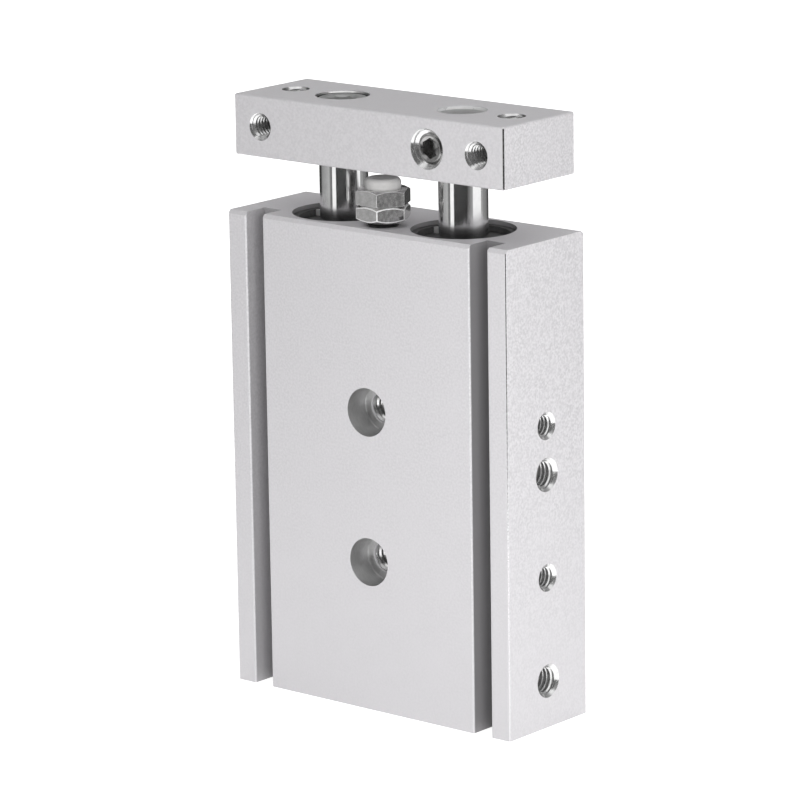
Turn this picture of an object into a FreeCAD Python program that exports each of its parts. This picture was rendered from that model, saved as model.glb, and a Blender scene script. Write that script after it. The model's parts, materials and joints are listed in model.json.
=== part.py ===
import FreeCAD, Part
import math
import os

# Guided pneumatic cylinder: two parallel rods in one flat housing carry a tool plate.
# Millimetres. Origin at the centre of the housing's bottom face. +X runs across the two
# rods, +Y runs from the grooved front face to the plain back face, and +Z is the stroke.
# The rods are drawn a little way out of their fully retracted position.

# ---------------------------------------------------------------- driving dimensions

# Cylinder
BORE_DIAMETER = 15.0
ROD_DIAMETER = 8.0
STROKE = 20.0
REST_EXTENSION = 1.3        # how far the rods stand out of full retraction as drawn
END_GAP = 0.2               # left between cushion and cover at either end of the stroke

# Clearances
FIT_CLEARANCE = 0.02        # radial, between pieces that locate each other
RUNNING_CLEARANCE = 0.03    # radial, rod in bush
PISTON_CLEARANCE = 0.08     # radial, piston in bore
SCREW_CLEARANCE = 0.04      # radial, stop screw in its thread

# Housing
WEB_WIDTH = 10.0            # metal between the two bores
FLANK_WIDTH = 9.0           # metal outside each bore, with the groove and the ports
RECESS_STEP = 1.0           # radial step from the bore to the recess at either end
FACE_WALL = 1.5             # wall between an end recess and the front or back face
ROD_RECESS_DEPTH = 3.8
HEAD_RECESS_DEPTH = 3.5
UPRIGHT_EDGE_RADIUS = 0.3
LONG_EDGE_CHAMFER = 0.6     # along the front and back edges of the top face
SWITCH_GROOVE_INSET = 5.6   # groove centre from the side face
SWITCH_GROOVE_WIDTH = 3.6
SWITCH_GROOVE_DEPTH = 4.7
SWITCH_GROOVE_LIP = 0.2

# Mounting holes and ports in the housing
MOUNT_HOLE_HEIGHT = 25.0    # lower holes above the bottom face
MOUNT_HOLE_SPACING = 25.0
COUNTERBORE_DIAMETER = 8.0
COUNTERBORE_DEPTH = 4.5
BODY_THREAD_DIAMETER = 5.0  # through the web, between the counterbores
SIDE_THREAD_DIAMETER = 4.0
SIDE_THREAD_DEPTH = 6.0
PORT_THREAD_DIAMETER = 5.0
PORT_THREAD_DEPTH = 5.5
PASSAGE_DIAMETER = 2.4
PASSAGE_LAND = 0.3          # between a passage and the cover beside it
MOUTH_CHAMFER = 0.3         # countersink of each threaded hole

# Rod cover, bush and seals
ROD_COVER_LENGTH = 32.7     # below the flange
ROD_COVER_FLANGE = 2.0
BUSH_WALL = 1.0
BUSH_LENGTH = 24.0
BUSH_SETBACK = 0.5
SEAL_RADIAL_WIDTH = 1.9
SEAL_HEIGHT = 3.6
SEAL_LIP = 1.0              # thickness of the cover above the rod seal
ROD_RELIEF = 0.3            # radial gap between the rod and the cover beside the seal
ORING_SECTION = 1.2
ORING_SQUEEZE = 0.1         # how much shallower than the ring its groove is
ORING_SIDE_PLAY = 0.15
COVER_ORING_SETBACK = 14.0  # ring centre below the flange
EDGE_BREAK = 0.3            # chamfer on turned pieces

# Head cover
HEAD_COVER_FLANGE = 1.5
HEAD_COVER_PLUG = 2.8
HEAD_COVER_DISH_DIAMETER = 8.0
HEAD_COVER_DISH_DEPTH = 0.4

# Snap rings
SNAP_RING_THICKNESS = 1.0
SNAP_RING_GROOVE_DEPTH = 0.6
SNAP_RING_PLAY = 0.05
SNAP_RING_INNER_STEP = 1.0  # how far the ring stands in from the recess wall
SNAP_RING_LUG_RADIUS = 1.25
SNAP_RING_LUG_HOLE_RADIUS = 0.6
SNAP_RING_GAP_ANGLE = 34.0  # between the two lug centres
ROD_RING_HEADING = 143.0    # where the rod ends' rings open, in degrees from +X
HEAD_RING_HEADING = 90.0

# Piston
PISTON_BODY_HEIGHT = 6.8
PISTON_SEAL_HEIGHT = 2.2
PISTON_SEAL_SETBACK = 2.3   # seal groove above the piston's lower face
PISTON_SEAL_DEPTH = 1.8
MAGNET_HEIGHT = 3.2
MAGNET_SETBACK = 0.3        # magnet's rim below the bore wall
PISTON_NECK_WALL = 1.7      # of the neck that carries the magnet
PISTON_WASHER_HEIGHT = 2.0
SPIGOT_DIAMETER = 5.0
SPIGOT_TAIL = 0.2
NUT_SINK = 0.7              # piston nut's depth in the piston
CUSHION_HEIGHT = 2.4
CUSHION_WALL = 1.6

# Tool plate
PLATE_INSET = 1.0           # plate's edge inside the housing's outline, all round
PLATE_THICKNESS = 10.0
PLATE_CHAMFER = 0.2
PLATE_HOLE_INSET = 5.5      # threaded holes from the plate's ends
PLATE_THREAD_DIAMETER = 4.0
PLATE_FRONT_THREAD_DEPTH = 6.0
PLATE_TOP_THREAD_DEPTH = 8.0
ROD_SEAT_DEPTH = 1.5        # left rod's seat in the underside of the plate
ROD_END_RECESS = 0.5        # right rod's end below the top of the plate

# Screws
CAP_SCREW_DIAMETER = 5.0
CAP_SCREW_LENGTH = 12.0
CAP_HEAD_DIAMETER = 8.5
CAP_HEAD_HEIGHT = 5.0
CAP_HEAD_RECESS = 0.4
CAP_COUNTERBORE_CLEARANCE = 0.25
CAP_SHANK_CLEARANCE = 0.25
CAP_SOCKET_FLATS = 4.0
CAP_SOCKET_DEPTH = 2.5
ROD_THREAD_SPARE = 1.5      # rod's threaded hole past the screw's tip
CLAMP_SCREW_DIAMETER = 6.0
CLAMP_SCREW_LENGTH = 5.0
CLAMP_SCREW_RECESS = 0.7
CLAMP_SOCKET_FLATS = 3.0
CLAMP_SOCKET_DEPTH = 2.0
CLAMP_FLAT_MARGIN = 0.5     # rod's clamping flat past the screw, up and down
PLUG_LENGTH = 4.0
PLUG_RECESS = 0.3
PLUG_SOCKET_FLATS = 2.5
PLUG_SOCKET_DEPTH = 2.0

# Stop screw
STOP_OFFSET = 5.0           # screw's axis in front of the rods' plane
STOP_SCREW_DIAMETER = 5.0
STOP_SCREW_LENGTH = 16.0
STOP_THREAD_DEPTH = 18.0
STOP_HEAD_HEIGHT = 2.6
STOP_HEX_HEADING = -3.0     # one corner's direction, in degrees from +X
HEX_FLATS = 8.0
HEX_CHAMFER_ANGLE = 30.0
NUT_HEIGHT = 2.7
NUT_LIFT = 0.75             # lock nut above the housing as drawn
PAD_DIAMETER = 5.9
PAD_HEIGHT = 1.75
PAD_ROUND = 0.8
PAD_STEM_DIAMETER = 2.4
PAD_STEM_LENGTH = 1.8
STOP_CLEARANCE = 0.1        # left between pad and plate at full retraction

DRILL_POINT_ANGLE = 118.0
CUT_MARGIN = 1.0            # how far cutting tools overshoot a face
SAME_PLACE = 1e-6           # places closer than this count as one

# ---------------------------------------------------------------- derived sizes

BORE_RADIUS = BORE_DIAMETER / 2
ROD_RADIUS = ROD_DIAMETER / 2
RECESS_RADIUS = BORE_RADIUS + RECESS_STEP
RING_GROOVE_RADIUS = RECESS_RADIUS + SNAP_RING_GROOVE_DEPTH
ROD_PITCH = BORE_DIAMETER + WEB_WIDTH
HOUSING_WIDTH = ROD_PITCH + BORE_DIAMETER + 2 * FLANK_WIDTH
HOUSING_DEPTH = 2 * (RECESS_RADIUS + FACE_WALL)
HALF_WIDTH = HOUSING_WIDTH / 2
HALF_DEPTH = HOUSING_DEPTH / 2
GROOVE_CENTRE = HALF_WIDTH - SWITCH_GROOVE_INSET
RING_GROOVE_HEIGHT = SNAP_RING_THICKNESS + 2 * SNAP_RING_PLAY

# Heights, from the bottom face upwards
PISTON_HEIGHT = PISTON_BODY_HEIGHT + MAGNET_HEIGHT + PISTON_WASHER_HEIGHT
HEAD_COVER_TOP = HEAD_RECESS_DEPTH + HEAD_COVER_PLUG
CUSHION_BOTTOM = HEAD_COVER_TOP + END_GAP + REST_EXTENSION
PISTON_BOTTOM = CUSHION_BOTTOM + CUSHION_HEIGHT
MAGNET_BOTTOM = PISTON_BOTTOM + PISTON_BODY_HEIGHT
WASHER_BOTTOM = MAGNET_BOTTOM + MAGNET_HEIGHT
PISTON_TOP = PISTON_BOTTOM + PISTON_HEIGHT
ROD_COVER_BOTTOM = HEAD_COVER_TOP + 2 * END_GAP + PISTON_HEIGHT + 2 * CUSHION_HEIGHT + STROKE
ROD_SHOULDER = ROD_COVER_BOTTOM + ROD_COVER_LENGTH
ROD_COVER_TOP = ROD_SHOULDER + ROD_COVER_FLANGE
HOUSING_HEIGHT = ROD_SHOULDER + ROD_RECESS_DEPTH
LOWER_PORT_HEIGHT = HEAD_COVER_TOP + PASSAGE_LAND + PASSAGE_DIAMETER / 2
UPPER_PORT_HEIGHT = ROD_COVER_BOTTOM - PASSAGE_LAND - PASSAGE_DIAMETER / 2
NUT_BOTTOM = HOUSING_HEIGHT + NUT_LIFT
STOP_HEAD_BOTTOM = NUT_BOTTOM + NUT_HEIGHT
PAD_BOTTOM = STOP_HEAD_BOTTOM + STOP_HEAD_HEIGHT
PAD_TOP = PAD_BOTTOM + PAD_HEIGHT
PLATE_BOTTOM = PAD_TOP + STOP_CLEARANCE + REST_EXTENSION
PLATE_TOP = PLATE_BOTTOM + PLATE_THICKNESS
PLATE_MIDDLE = PLATE_BOTTOM + PLATE_THICKNESS / 2

PLATE_WIDTH = HOUSING_WIDTH - 2 * PLATE_INSET
PLATE_DEPTH = HOUSING_DEPTH - 2 * PLATE_INSET
PLATE_HOLE_X = PLATE_WIDTH / 2 - PLATE_HOLE_INSET
BUSH_OUTER_RADIUS = ROD_RADIUS + RUNNING_CLEARANCE + BUSH_WALL
CAP_HEAD_BOTTOM = PLATE_TOP - CAP_HEAD_RECESS - CAP_HEAD_HEIGHT
CAP_SCREW_TIP = CAP_HEAD_BOTTOM - CAP_SCREW_LENGTH
CLAMP_TIP = -PLATE_DEPTH / 2 + CLAMP_SCREW_RECESS + CLAMP_SCREW_LENGTH

SIDES = {"left": -ROD_PITCH / 2, "right": ROD_PITCH / 2}
MOUNT_HEIGHTS = (MOUNT_HOLE_HEIGHT, MOUNT_HOLE_HEIGHT + MOUNT_HOLE_SPACING)
PORT_HEIGHTS = (LOWER_PORT_HEIGHT, UPPER_PORT_HEIGHT)

# ---------------------------------------------------------------- shape helpers


def point(x, y, z):
    return FreeCAD.Vector(x, y, z)


def turned(profile, x=0.0, y=0.0):
    """Solid of revolution about the upright axis at (x, y), from (radius, height) corners."""
    corners = [point(radius, 0, height) for radius, height in profile]
    outline = Part.makePolygon(corners + corners[:1])
    solid = Part.Face(outline).revolve(point(0, 0, 0), point(0, 0, 1), 360)
    solid.translate(point(x, y, 0))
    return solid


def disc(radius, bottom, top, x=0.0, y=0.0):
    return Part.makeCylinder(radius, top - bottom, point(x, y, bottom))


def ring(inner, outer, bottom, top, x):
    """Plain turned ring with its axis at (x, 0)."""
    return turned([(inner, bottom), (outer, bottom), (outer, top), (inner, top)], x)


def aim(tool, mouth, outward):
    """Move a tool made on the Z axis so that its +Z points outward from the mouth."""
    turn = FreeCAD.Rotation(point(0, 0, 1), outward)
    tool.Placement = FreeCAD.Placement(mouth, turn)
    return tool


def blind_hole(mouth, outward, radius, depth, countersink=MOUTH_CHAMFER):
    """Cutting tool with a countersunk mouth, a straight wall and a drill point."""
    point_depth = radius / math.tan(math.radians(DRILL_POINT_ANGLE / 2))
    profile = [(0, CUT_MARGIN), (radius + countersink + CUT_MARGIN, CUT_MARGIN),
               (radius, -countersink), (radius, -depth), (0, -depth - point_depth)]
    return aim(turned(profile), mouth, outward)


def counterbore(mouth, outward, radius, depth):
    """Cutting tool for a flat-bottomed hole."""
    return aim(disc(radius, -depth, CUT_MARGIN), mouth, outward)


def straight_hole(start, end, radius):
    """Cutting tool for a plain hole from one point to another."""
    run = end - start
    return Part.makeCylinder(radius, run.Length, start, run)


def corner_reach(flats):
    """Distance from a hexagon's axis to its corners."""
    return flats / math.sqrt(3)


def hexagon(flats, bottom, top, x=0.0, y=0.0, heading=0.0):
    """Hexagonal prism with one corner at the given heading, in degrees from +X."""
    corners = []
    reach = corner_reach(flats)
    for step in range(6):
        angle = math.radians(heading + 60 * step)
        corners.append(point(x + reach * math.cos(angle), y + reach * math.sin(angle), bottom))
    outline = Part.makePolygon(corners + corners[:1])
    return Part.Face(outline).extrude(point(0, 0, top - bottom))


def hex_blank(flats, bottom, top, x, y, heading, chamfer_bottom):
    """Hexagonal prism with its corners turned off at the top, and at the bottom if asked."""
    face_radius = flats / 2
    corner_radius = corner_reach(flats) + CUT_MARGIN
    drop = (corner_radius - face_radius) * math.tan(math.radians(HEX_CHAMFER_ANGLE))
    low = [(face_radius, bottom), (corner_radius, bottom + drop)]
    if not chamfer_bottom:
        low = [(corner_radius, bottom)]
    high = [(corner_radius, top - drop), (face_radius, top)]
    envelope = turned([(0, bottom)] + low + high + [(0, top)], x, y)
    return hexagon(flats, bottom, top, x, y, heading).common(envelope)


def thin_nut(bottom, x, y, heading, hole_radius):
    blank = hex_blank(HEX_FLATS, bottom, bottom + NUT_HEIGHT, x, y, heading, True)
    hole = disc(hole_radius, bottom - CUT_MARGIN, bottom + NUT_HEIGHT + CUT_MARGIN, x, y)
    return blank.cut(hole)


def set_screw(mouth, outward, radius, length, socket_flats, socket_depth):
    """Headless screw with a hexagon socket; its outer end lies at the mouth."""
    bevel = EDGE_BREAK
    profile = [(0, -length), (radius - bevel, -length), (radius, bevel - length),
               (radius, -bevel), (radius - bevel, 0), (0, 0)]
    socket = hexagon(socket_flats, -socket_depth, CUT_MARGIN)
    return aim(turned(profile).cut(socket), mouth, outward)


# ---------------------------------------------------------------- housing


def extrusion():
    """Outline of the housing with its two switch grooves, drawn up to full height."""
    groove_floor = -HALF_DEPTH + SWITCH_GROOVE_DEPTH
    lip_end = -HALF_DEPTH + SWITCH_GROOVE_LIP
    inner = GROOVE_CENTRE - SWITCH_GROOVE_WIDTH / 2
    outer = GROOVE_CENTRE + SWITCH_GROOVE_WIDTH / 2
    right = [(inner - SWITCH_GROOVE_LIP, -HALF_DEPTH), (inner, lip_end), (inner, groove_floor),
             (outer, groove_floor), (outer, lip_end), (outer + SWITCH_GROOVE_LIP, -HALF_DEPTH),
             (HALF_WIDTH, -HALF_DEPTH), (HALF_WIDTH, HALF_DEPTH)]
    left = [(-x, y) for x, y in reversed(right)]
    corners = [point(x, y, 0) for x, y in right + left]
    outline = Part.makePolygon(corners + corners[:1])
    block = Part.Face(outline).extrude(point(0, 0, HOUSING_HEIGHT))
    return block.makeFillet(UPRIGHT_EDGE_RADIUS, corner_edges(block))


def corner_edges(block):
    """The four upright edges at the corners of the housing."""
    found = []
    for edge in block.Edges:
        middle = edge.CenterOfMass
        at_side = abs(abs(middle.x) - HALF_WIDTH) < SAME_PLACE
        at_face = abs(abs(middle.y) - HALF_DEPTH) < SAME_PLACE
        if at_side and at_face:
            found.append(edge)
    return found


def top_edge_cutter(side):
    """Prism that chamfers the front (side -1) or back (side +1) edge of the top face."""
    reach = LONG_EDGE_CHAMFER + CUT_MARGIN
    start = -HALF_WIDTH - CUT_MARGIN
    edge = side * (HALF_DEPTH + CUT_MARGIN)
    top = HOUSING_HEIGHT + CUT_MARGIN
    corners = [point(start, edge, top), point(start, edge - side * (reach + CUT_MARGIN), top),
               point(start, edge, top - reach - CUT_MARGIN)]
    outline = Part.makePolygon(corners + corners[:1])
    return Part.Face(outline).extrude(point(HOUSING_WIDTH + 2 * CUT_MARGIN, 0, 0))


def stepped_bore(x):
    """Cutting tool for one bore with its end recesses and snap ring grooves."""
    head_groove = HEAD_RECESS_DEPTH - HEAD_COVER_FLANGE - RING_GROOVE_HEIGHT
    rod_groove = ROD_COVER_TOP
    top = HOUSING_HEIGHT + CUT_MARGIN
    profile = [
        (0, -CUT_MARGIN),
        (RECESS_RADIUS, -CUT_MARGIN),
        (RECESS_RADIUS, head_groove),
        (RING_GROOVE_RADIUS, head_groove),
        (RING_GROOVE_RADIUS, head_groove + RING_GROOVE_HEIGHT),
        (RECESS_RADIUS, head_groove + RING_GROOVE_HEIGHT),
        (RECESS_RADIUS, HEAD_RECESS_DEPTH),
        (BORE_RADIUS, HEAD_RECESS_DEPTH),
        (BORE_RADIUS, ROD_SHOULDER),
        (RECESS_RADIUS, ROD_SHOULDER),
        (RECESS_RADIUS, rod_groove),
        (RING_GROOVE_RADIUS, rod_groove),
        (RING_GROOVE_RADIUS, rod_groove + RING_GROOVE_HEIGHT),
        (RECESS_RADIUS, rod_groove + RING_GROOVE_HEIGHT),
        (RECESS_RADIUS, top),
        (0, top),
    ]
    return turned(profile, x)


def mounting_holes():
    """Threads through the web with a counterbore at either face, and threads in the sides."""
    tools = []
    for height in MOUNT_HEIGHTS:
        front = point(0, -HALF_DEPTH, height)
        back = point(0, HALF_DEPTH, height)
        tools.append(straight_hole(front, back, BODY_THREAD_DIAMETER / 2))
        tools.append(counterbore(front, point(0, -1, 0), COUNTERBORE_DIAMETER / 2, COUNTERBORE_DEPTH))
        tools.append(counterbore(back, point(0, 1, 0), COUNTERBORE_DIAMETER / 2, COUNTERBORE_DEPTH))
        for side in (-1, 1):
            mouth = point(side * HALF_WIDTH, 0, height)
            tools.append(blind_hole(mouth, point(side, 0, 0), SIDE_THREAD_DIAMETER / 2, SIDE_THREAD_DEPTH))
    return tools


def air_ports():
    """Threaded ports in both sides, joined by one passage through both bores."""
    tools = []
    passage_reach = HALF_WIDTH - PORT_THREAD_DEPTH
    for height in PORT_HEIGHTS:
        for side in (-1, 1):
            mouth = point(side * HALF_WIDTH, 0, height)
            tools.append(blind_hole(mouth, point(side, 0, 0), PORT_THREAD_DIAMETER / 2, PORT_THREAD_DEPTH))
        start = point(-passage_reach, 0, height)
        end = point(passage_reach, 0, height)
        tools.append(straight_hole(start, end, PASSAGE_DIAMETER / 2))
    return tools


def make_housing():
    tools = [stepped_bore(x) for x in SIDES.values()]
    tools += mounting_holes() + air_ports()
    tools += [top_edge_cutter(-1), top_edge_cutter(1)]
    stop_mouth = point(0, -STOP_OFFSET, HOUSING_HEIGHT)
    tools.append(blind_hole(stop_mouth, point(0, 0, 1), STOP_SCREW_DIAMETER / 2, STOP_THREAD_DEPTH))
    return extrusion().cut(tools)


def make_port_plugs():
    """Plugs for the two ports in the left side, which the air line doesn't use."""
    radius = PORT_THREAD_DIAMETER / 2 - FIT_CLEARANCE
    plugs = []
    for height in PORT_HEIGHTS:
        mouth = point(-HALF_WIDTH + PLUG_RECESS, 0, height)
        plug = set_screw(mouth, point(-1, 0, 0), radius, PLUG_LENGTH, PLUG_SOCKET_FLATS, PLUG_SOCKET_DEPTH)
        plugs.append(plug)
    return Part.makeCompound(plugs)


# ---------------------------------------------------------------- rod end


def oring_groove(wall_radius, centre, x):
    """Cutting tool for an O-ring's groove round a cover that fills a bore."""
    half_height = ORING_SECTION / 2 + ORING_SIDE_PLAY
    floor = wall_radius - ORING_SECTION + ORING_SQUEEZE
    return ring(floor, wall_radius + CUT_MARGIN, centre - half_height, centre + half_height, x)


def oring(wall_radius, centre, x):
    """O-ring, drawn square, squeezed between its groove's floor and the bore's wall."""
    inner = wall_radius - ORING_SECTION + ORING_SQUEEZE
    half_height = ORING_SECTION / 2
    return ring(inner, wall_radius, centre - half_height, centre + half_height, x)


def make_rod_cover(x):
    """Flanged sleeve that fills the bore's upper half and holds the bush and rod seal."""
    barrel = BORE_RADIUS - FIT_CLEARANCE
    flange = RECESS_RADIUS - FIT_CLEARANCE
    bush_seat = BUSH_OUTER_RADIUS + FIT_CLEARANCE
    seat_top = ROD_COVER_BOTTOM + BUSH_SETBACK + BUSH_LENGTH
    relief = ROD_RADIUS + ROD_RELIEF
    seal_seat = ROD_RADIUS + SEAL_RADIAL_WIDTH + 2 * FIT_CLEARANCE
    seal_top = ROD_COVER_TOP - SEAL_LIP
    seal_bottom = seal_top - SEAL_HEIGHT
    profile = [
        (bush_seat, ROD_COVER_BOTTOM),
        (barrel, ROD_COVER_BOTTOM),
        (barrel, ROD_SHOULDER),
        (flange, ROD_SHOULDER),
        (flange, ROD_COVER_TOP - EDGE_BREAK),
        (flange - EDGE_BREAK, ROD_COVER_TOP),
        (relief, ROD_COVER_TOP),
        (relief, seal_top),
        (seal_seat, seal_top),
        (seal_seat, seal_bottom),
        (relief, seal_bottom),
        (relief, seat_top),
        (bush_seat, seat_top),
    ]
    return turned(profile, x).cut(oring_groove(barrel, ROD_SHOULDER - COVER_ORING_SETBACK, x))


def make_bush(x):
    inner = ROD_RADIUS + RUNNING_CLEARANCE
    bottom = ROD_COVER_BOTTOM + BUSH_SETBACK
    return ring(inner, BUSH_OUTER_RADIUS, bottom, bottom + BUSH_LENGTH, x)


def make_rod_seal(x):
    """Rod seal with a wiping lip at the top and a pressure lip at the bottom."""
    inner = ROD_RADIUS + FIT_CLEARANCE
    outer = ROD_RADIUS + SEAL_RADIAL_WIDTH
    middle = (inner + outer) / 2
    top = ROD_COVER_TOP - SEAL_LIP - FIT_CLEARANCE
    bottom = top - SEAL_HEIGHT + 2 * FIT_CLEARANCE
    notch = SEAL_HEIGHT / 4
    waist = inner + ROD_RELIEF
    profile = [
        (inner, bottom),
        (middle, bottom + notch),
        (outer, bottom),
        (outer, top),
        (inner, top),
        (inner, top - notch),
        (waist, top - 2 * notch),
        (waist, bottom + notch),
        (inner, bottom + notch / 2),
    ]
    return turned(profile, x)


def make_cover_oring(x):
    return oring(BORE_RADIUS - FIT_CLEARANCE, ROD_SHOULDER - COVER_ORING_SETBACK, x)


def snap_ring(bottom, x, heading):
    """Open ring with two drilled lugs for the pliers, pointing in at the heading."""
    outer = RING_GROOVE_RADIUS - SNAP_RING_PLAY
    inner = RECESS_RADIUS - SNAP_RING_INNER_STEP
    top = bottom + SNAP_RING_THICKNESS
    band = ring(inner, outer, bottom, top, 0)
    half_gap = math.radians(SNAP_RING_GAP_ANGLE / 2)
    lug_orbit = inner
    reach = outer + CUT_MARGIN
    wedge = [point(0, 0, bottom - CUT_MARGIN)]
    for turn in (-half_gap, half_gap):
        wedge.append(point(reach * math.cos(turn), reach * math.sin(turn), bottom - CUT_MARGIN))
    gap_outline = Part.makePolygon(wedge + wedge[:1])
    gap = Part.Face(gap_outline).extrude(point(0, 0, SNAP_RING_THICKNESS + 2 * CUT_MARGIN))
    open_ring = band.cut(gap)
    for turn in (-half_gap, half_gap):
        lug_x = lug_orbit * math.cos(turn)
        lug_y = lug_orbit * math.sin(turn)
        open_ring = open_ring.fuse(disc(SNAP_RING_LUG_RADIUS, bottom, top, lug_x, lug_y))
        hole = disc(SNAP_RING_LUG_HOLE_RADIUS, bottom - CUT_MARGIN, top + CUT_MARGIN, lug_x, lug_y)
        open_ring = open_ring.cut(hole)
    open_ring.rotate(point(0, 0, 0), point(0, 0, 1), heading)
    open_ring.translate(point(x, 0, 0))
    return open_ring.removeSplitter()


def make_rod_snap_ring(x):
    return snap_ring(ROD_COVER_TOP + SNAP_RING_PLAY, x, ROD_RING_HEADING)


# ---------------------------------------------------------------- head end


def head_oring_centre():
    return HEAD_RECESS_DEPTH + HEAD_COVER_PLUG / 2


def make_head_cover(x):
    """Blind cover with a flange against the recess and an O-ring round its plug."""
    plug = BORE_RADIUS - FIT_CLEARANCE
    flange = RECESS_RADIUS - FIT_CLEARANCE
    bottom = HEAD_RECESS_DEPTH - HEAD_COVER_FLANGE
    dish = HEAD_COVER_DISH_DIAMETER / 2
    profile = [
        (0, bottom + HEAD_COVER_DISH_DEPTH),
        (dish, bottom + HEAD_COVER_DISH_DEPTH),
        (dish, bottom),
        (flange - EDGE_BREAK, bottom),
        (flange, bottom + EDGE_BREAK),
        (flange, HEAD_RECESS_DEPTH),
        (plug, HEAD_RECESS_DEPTH),
        (plug, HEAD_COVER_TOP),
        (0, HEAD_COVER_TOP),
    ]
    return turned(profile, x).cut(oring_groove(plug, head_oring_centre(), x))


def make_head_oring(x):
    return oring(BORE_RADIUS - FIT_CLEARANCE, head_oring_centre(), x)


def make_head_snap_ring(x):
    bottom = HEAD_RECESS_DEPTH - HEAD_COVER_FLANGE - SNAP_RING_PLAY - SNAP_RING_THICKNESS
    return snap_ring(bottom, x, HEAD_RING_HEADING)


# ---------------------------------------------------------------- piston


def make_piston(x):
    """Piston with a seal groove, a neck for the magnet and a sunk seat for its nut."""
    rim = BORE_RADIUS - PISTON_CLEARANCE
    hole = SPIGOT_DIAMETER / 2 + FIT_CLEARANCE
    neck = SPIGOT_DIAMETER / 2 + PISTON_NECK_WALL
    nut_seat = corner_reach(HEX_FLATS) + FIT_CLEARANCE
    groove_bottom = PISTON_BOTTOM + PISTON_SEAL_SETBACK
    groove_top = groove_bottom + PISTON_SEAL_HEIGHT
    groove_floor = rim - PISTON_SEAL_DEPTH
    profile = [
        (hole, PISTON_BOTTOM + NUT_SINK),
        (nut_seat, PISTON_BOTTOM + NUT_SINK),
        (nut_seat, PISTON_BOTTOM),
        (rim - EDGE_BREAK, PISTON_BOTTOM),
        (rim, PISTON_BOTTOM + EDGE_BREAK),
        (rim, groove_bottom),
        (groove_floor, groove_bottom),
        (groove_floor, groove_top),
        (rim, groove_top),
        (rim, MAGNET_BOTTOM),
        (neck, MAGNET_BOTTOM),
        (neck, WASHER_BOTTOM),
        (hole, WASHER_BOTTOM),
    ]
    return turned(profile, x)


def make_piston_seal(x):
    """Seal whose lip leans on the bore and opens towards both chambers."""
    inner = BORE_RADIUS - PISTON_CLEARANCE - PISTON_SEAL_DEPTH + FIT_CLEARANCE
    outer = BORE_RADIUS - FIT_CLEARANCE
    bottom = PISTON_BOTTOM + PISTON_SEAL_SETBACK + FIT_CLEARANCE
    top = bottom + PISTON_SEAL_HEIGHT - 2 * FIT_CLEARANCE
    waist = BORE_RADIUS - PISTON_CLEARANCE - EDGE_BREAK
    middle = (bottom + top) / 2
    profile = [(inner, bottom), (outer, bottom), (outer, bottom + EDGE_BREAK), (waist, middle),
               (outer, top - EDGE_BREAK), (outer, top), (inner, top)]
    return turned(profile, x)


def make_magnet(x):
    inner = SPIGOT_DIAMETER / 2 + PISTON_NECK_WALL + FIT_CLEARANCE
    return ring(inner, BORE_RADIUS - MAGNET_SETBACK, MAGNET_BOTTOM, WASHER_BOTTOM, x)


def make_piston_washer(x):
    inner = SPIGOT_DIAMETER / 2 + FIT_CLEARANCE
    return ring(inner, BORE_RADIUS - PISTON_CLEARANCE, WASHER_BOTTOM, PISTON_TOP, x)


def make_piston_nut(x):
    bottom = PISTON_BOTTOM + NUT_SINK - NUT_HEIGHT
    return thin_nut(bottom, x, 0, 0, SPIGOT_DIAMETER / 2 + FIT_CLEARANCE)


def make_lower_cushion(x):
    inner = corner_reach(HEX_FLATS) + 2 * FIT_CLEARANCE
    return ring(inner, inner + CUSHION_WALL, CUSHION_BOTTOM, PISTON_BOTTOM, x)


def make_upper_cushion(x):
    inner = ROD_RADIUS + FIT_CLEARANCE
    outer = corner_reach(HEX_FLATS) + 2 * FIT_CLEARANCE + CUSHION_WALL
    return ring(inner, outer, PISTON_TOP, PISTON_TOP + CUSHION_HEIGHT, x)


# ---------------------------------------------------------------- rods and tool plate


def rod_blank(x, top):
    """Rod with the spigot that goes through the piston and its nut."""
    spigot = SPIGOT_DIAMETER / 2
    tail = PISTON_BOTTOM + NUT_SINK - NUT_HEIGHT - SPIGOT_TAIL
    profile = [
        (0, tail),
        (spigot, tail),
        (spigot, PISTON_TOP),
        (ROD_RADIUS, PISTON_TOP),
        (ROD_RADIUS, top - EDGE_BREAK),
        (ROD_RADIUS - EDGE_BREAK, top),
        (0, top),
    ]
    return turned(profile, x)


def make_left_rod():
    """Rod bolted to the plate: its end has a thread for the cap screw."""
    x = SIDES["left"]
    top = PLATE_BOTTOM + ROD_SEAT_DEPTH
    depth = top - CAP_SCREW_TIP + ROD_THREAD_SPARE
    radius = CAP_SCREW_DIAMETER / 2 + FIT_CLEARANCE
    return rod_blank(x, top).cut(blind_hole(point(x, 0, top), point(0, 0, 1), radius, depth))


def make_right_rod():
    """Rod that passes through the plate, with a flat for the clamp screw."""
    x = SIDES["right"]
    half_flat = CLAMP_SCREW_DIAMETER / 2 + CLAMP_FLAT_MARGIN
    corner = point(x - ROD_RADIUS - CUT_MARGIN, CLAMP_TIP - ROD_DIAMETER, PLATE_MIDDLE - half_flat)
    flat = Part.makeBox(ROD_DIAMETER + 2 * CUT_MARGIN, ROD_DIAMETER, 2 * half_flat, corner)
    return rod_blank(x, PLATE_TOP - ROD_END_RECESS).cut(flat)


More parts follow.
